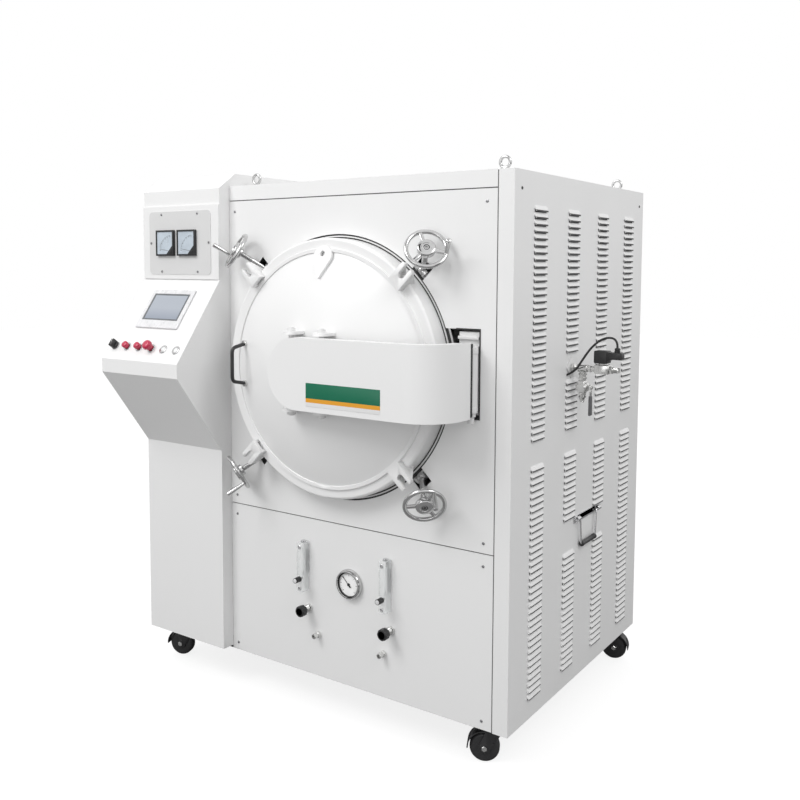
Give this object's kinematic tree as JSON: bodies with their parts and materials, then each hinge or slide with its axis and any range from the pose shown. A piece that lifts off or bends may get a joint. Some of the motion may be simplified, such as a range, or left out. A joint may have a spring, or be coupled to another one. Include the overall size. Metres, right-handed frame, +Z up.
{
  "type": "vacuum atmosphere furnace",
  "caption": "Vacuum atmosphere furnace on casters: cabinet round a horizontal vessel with a swinging round door on clamps, and a control cabinet with a sloping desk.",
  "frame": {"origin": "middle of the footprint on the floor", "axes": "+Z up, +Y from the door towards the back, +X to the right seen from the front"},
  "size_m": [1.4486, 1.1862, 1.5897],
  "materials": {
    "cabinet_paint": "light grey textured powder coat",
    "frame_steel": "painted steel tube",
    "stainless": "brushed stainless steel",
    "chrome": "polished",
    "black_plastic": "moulded",
    "red_plastic": "moulded",
    "clear_acrylic": "polished",
    "ceramic_board": "fibre board",
    "heater": "dull",
    "seal_rubber": "matte",
    "white_panel": "satin",
    "cable_sheath": "matte",
    "caster_tread": "matte",
    "caster_paint": "black"
  },
  "bodies": {
    "cabinet": {"base_frame": "frame_steel", "button_collars": "stainless", "chamber_shell": "stainless", "console_hood": "cabinet_paint", "console_shell": "cabinet_paint", "door_seal": "seal_rubber", "eye_bolts": "stainless", "flowmeters": "clear_acrylic", "front_lower_panel": "cabinet_paint", "front_upper_panel": "cabinet_paint", "gas_fittings": "stainless", "heating_elements": "heater", "hinge_bracket": "frame_steel", "insulation_lining": "ceramic_board", "meter_plate": "white_panel", "panel_meters": "black_plastic", "panel_screws": "stainless", "pressure_gauge": "stainless", "rear_panel": "cabinet_paint", "right_side_panel": "cabinet_paint", "side_handle_ears": "chrome", "solenoid_cable": "cable_sheath", "solenoid_coil": "black_plastic", "top_cover": "cabinet_paint", "touch_screen": "black_plastic", "vent_pipework": "stainless"},
    "door": {"door_flange": "stainless", "clamp_brackets": "stainless", "door_dish": "stainless", "door_lining": "ceramic_board", "door_handle": "black_plastic", "arm_shroud": "cabinet_paint", "swing_arm": "frame_steel"},
    "bail_handle_body": {"bail_handle": "black_plastic"},
    "ball_valve_lever_body": {"ball_valve_lever": "stainless"},
    "caster_fork_front_left_body": {"caster_fork_front_left": "caster_paint"},
    "caster_fork_front_right_body": {"caster_fork_front_right": "caster_paint"},
    "caster_fork_rear_left_body": {"caster_fork_rear_left": "caster_paint"},
    "caster_fork_rear_right_body": {"caster_fork_rear_right": "caster_paint"},
    "caster_wheel_front_left_body": {"caster_wheel_front_left": "caster_tread"},
    "caster_wheel_front_right_body": {"caster_wheel_front_right": "caster_tread"},
    "caster_wheel_rear_left_body": {"caster_wheel_rear_left": "caster_tread"},
    "caster_wheel_rear_right_body": {"caster_wheel_rear_right": "caster_tread"},
    "emergency_stop_body": {"emergency_stop": "red_plastic"},
    "flow_knob_left_body": {"flow_knob_left": "black_plastic"},
    "flow_knob_right_body": {"flow_knob_right": "black_plastic"},
    "gauge_needle_body": {"gauge_needle": "stainless"},
    "handwheel_lower_left_body": {"handwheel_lower_left": "chrome"},
    "handwheel_lower_right_body": {"handwheel_lower_right": "chrome"},
    "handwheel_upper_left_body": {"handwheel_upper_left": "chrome"},
    "handwheel_upper_right_body": {"handwheel_upper_right": "chrome"},
    "heat_button_body": {"heat_button": "red_plastic"},
    "selector_knob_body": {"selector_knob": "black_plastic"},
    "stop_button_body": {"stop_button": "red_plastic"},
    "swing_bolt_lower_left_body": {"swing_bolt_lower_left": "chrome"},
    "swing_bolt_lower_right_body": {"swing_bolt_lower_right": "chrome"},
    "swing_bolt_upper_left_body": {"swing_bolt_upper_left": "chrome"},
    "swing_bolt_upper_right_body": {"swing_bolt_upper_right": "chrome"},
    "valve_knob_left_body": {"valve_knob_left": "black_plastic"},
    "valve_knob_right_body": {"valve_knob_right": "black_plastic"}
  },
  "joints": [
    {"name": "door_swing", "type": "hinge", "parent": "cabinet", "child": "door", "pos_m": [0.4673, -0.38794, 1.022], "axis": [0, 0, 1], "range_deg": [0, 92]},
    {"name": "clamp_swing_upper_right", "type": "hinge", "parent": "cabinet", "child": "swing_bolt_upper_right_body", "pos_m": [0.30366, -0.35894, 1.29636], "axis": [-0.7071, 0, 0.7071], "range_deg": [-47, 0]},
    {"name": "handwheel_turn_upper_right", "type": "hinge", "parent": "swing_bolt_upper_right_body", "child": "handwheel_upper_right_body", "pos_m": [0.359, -0.43191, 1.35169], "axis": [0.5171, -0.682, 0.5171], "continuous": true},
    {"name": "clamp_swing_upper_left", "type": "hinge", "parent": "cabinet", "child": "swing_bolt_upper_left_body", "pos_m": [-0.24505, -0.35894, 1.29636], "axis": [-0.7071, 0, -0.7071], "range_deg": [-47, 0]},
    {"name": "handwheel_turn_upper_left", "type": "hinge", "parent": "swing_bolt_upper_left_body", "child": "handwheel_upper_left_body", "pos_m": [-0.30039, -0.43191, 1.35169], "axis": [-0.5171, -0.682, 0.5171], "continuous": true},
    {"name": "clamp_swing_lower_left", "type": "hinge", "parent": "cabinet", "child": "swing_bolt_lower_left_body", "pos_m": [-0.24505, -0.35894, 0.74764], "axis": [0.7071, 0, -0.7071], "range_deg": [-47, 0]},
    {"name": "handwheel_turn_lower_left", "type": "hinge", "parent": "swing_bolt_lower_left_body", "child": "handwheel_lower_left_body", "pos_m": [-0.30039, -0.43191, 0.69231], "axis": [-0.5171, -0.682, -0.5171], "continuous": true},
    {"name": "clamp_swing_lower_right", "type": "hinge", "parent": "cabinet", "child": "swing_bolt_lower_right_body", "pos_m": [0.30366, -0.35894, 0.74764], "axis": [0.7071, 0, 0.7071], "range_deg": [-47, 0]},
    {"name": "handwheel_turn_lower_right", "type": "hinge", "parent": "swing_bolt_lower_right_body", "child": "handwheel_lower_right_body", "pos_m": [0.359, -0.43191, 0.69231], "axis": [0.5171, -0.682, -0.5171], "continuous": true},
    {"name": "heat_button_press", "type": "slide", "parent": "cabinet", "child": "heat_button_body", "axis": [0, 0.8083, -0.5888], "range_m": [0, 0.004], "stiffness_N_per_m": 400, "springref_m": -0.003},
    {"name": "stop_button_press", "type": "slide", "parent": "cabinet", "child": "stop_button_body", "axis": [0, 0.8083, -0.5888], "range_m": [0, 0.004], "stiffness_N_per_m": 400, "springref_m": -0.003},
    {"name": "emergency_stop_press", "type": "slide", "parent": "cabinet", "child": "emergency_stop_body", "axis": [0, 0.8083, -0.5888], "range_m": [0, 0.004], "stiffness_N_per_m": 400, "springref_m": -0.003},
    {"name": "selector_turn", "type": "hinge", "parent": "cabinet", "child": "selector_knob_body", "pos_m": [-0.6867, -0.56349, 1.06069], "axis": [0, -0.8083, 0.5888], "range_deg": [-45, 45]},
    {"name": "flow_knob_turn_left", "type": "hinge", "parent": "cabinet", "child": "flow_knob_left_body", "pos_m": [-0.0847, -0.40594, 0.4005], "axis": [0, -1, 0], "range_deg": [0, 1080]},
    {"name": "valve_knob_turn_left", "type": "hinge", "parent": "cabinet", "child": "valve_knob_left_body", "pos_m": [-0.0767, -0.39794, 0.307], "axis": [0, -1, 0], "range_deg": [0, 1080]},
    {"name": "flow_knob_turn_right", "type": "hinge", "parent": "cabinet", "child": "flow_knob_right_body", "pos_m": [0.2063, -0.40594, 0.4005], "axis": [0, -1, 0], "range_deg": [0, 1080]},
    {"name": "valve_knob_turn_right", "type": "hinge", "parent": "cabinet", "child": "valve_knob_right_body", "pos_m": [0.2143, -0.39794, 0.307], "axis": [0, -1, 0], "range_deg": [0, 1080]},
    {"name": "gauge_needle_turn", "type": "hinge", "parent": "cabinet", "child": "gauge_needle_body", "pos_m": [0.0743, -0.38794, 0.409], "axis": [0, 1, 0], "range_deg": [-90, 180], "stiffness_Nm_per_rad": 0.001},
    {"name": "ball_valve_turn", "type": "hinge", "parent": "cabinet", "child": "ball_valve_lever_body", "pos_m": [0.6313, -0.01394, 0.976], "axis": [1, 0, 0], "range_deg": [0, 90]},
    {"name": "side_handle_lift", "type": "hinge", "parent": "cabinet", "child": "bail_handle_body", "pos_m": [0.5833, 0.11506, 0.586], "axis": [0, -1, 0], "range_deg": [0, 90]},
    {"name": "caster_swivel_front_left", "type": "hinge", "parent": "cabinet", "child": "caster_fork_front_left_body", "pos_m": [-0.6487, -0.30994, 0.096], "axis": [0, 0, 1], "continuous": true},
    {"name": "caster_roll_front_left", "type": "hinge", "parent": "caster_fork_front_left_body", "child": "caster_wheel_front_left_body", "pos_m": [-0.67313, -0.31883, 0.04], "axis": [0.342, -0.9397, 0], "continuous": true},
    {"name": "caster_swivel_front_right", "type": "hinge", "parent": "cabinet", "child": "caster_fork_front_right_body", "pos_m": [0.5063, -0.30994, 0.096], "axis": [0, 0, 1], "continuous": true},
    {"name": "caster_roll_front_right", "type": "hinge", "parent": "caster_fork_front_right_body", "child": "caster_wheel_front_right_body", "pos_m": [0.48274, -0.32093, 0.04], "axis": [0.4226, -0.9063, 0], "continuous": true},
    {"name": "caster_swivel_rear_left", "type": "hinge", "parent": "cabinet", "child": "caster_fork_rear_left_body", "pos_m": [-0.6487, 0.48606, 0.096], "axis": [0, 0, 1], "continuous": true},
    {"name": "caster_roll_rear_left", "type": "hinge", "parent": "caster_fork_rear_left_body", "child": "caster_wheel_rear_left_body", "pos_m": [-0.62426, 0.49495, 0.04], "axis": [-0.342, 0.9397, 0], "continuous": true},
    {"name": "caster_swivel_rear_right", "type": "hinge", "parent": "cabinet", "child": "caster_fork_rear_right_body", "pos_m": [0.5063, 0.48606, 0.096], "axis": [0, 0, 1], "continuous": true},
    {"name": "caster_roll_rear_right", "type": "hinge", "parent": "caster_fork_rear_right_body", "child": "caster_wheel_rear_right_body", "pos_m": [0.53142, 0.49279, 0.04], "axis": [-0.2588, 0.9659, 0], "continuous": true}
  ]
}
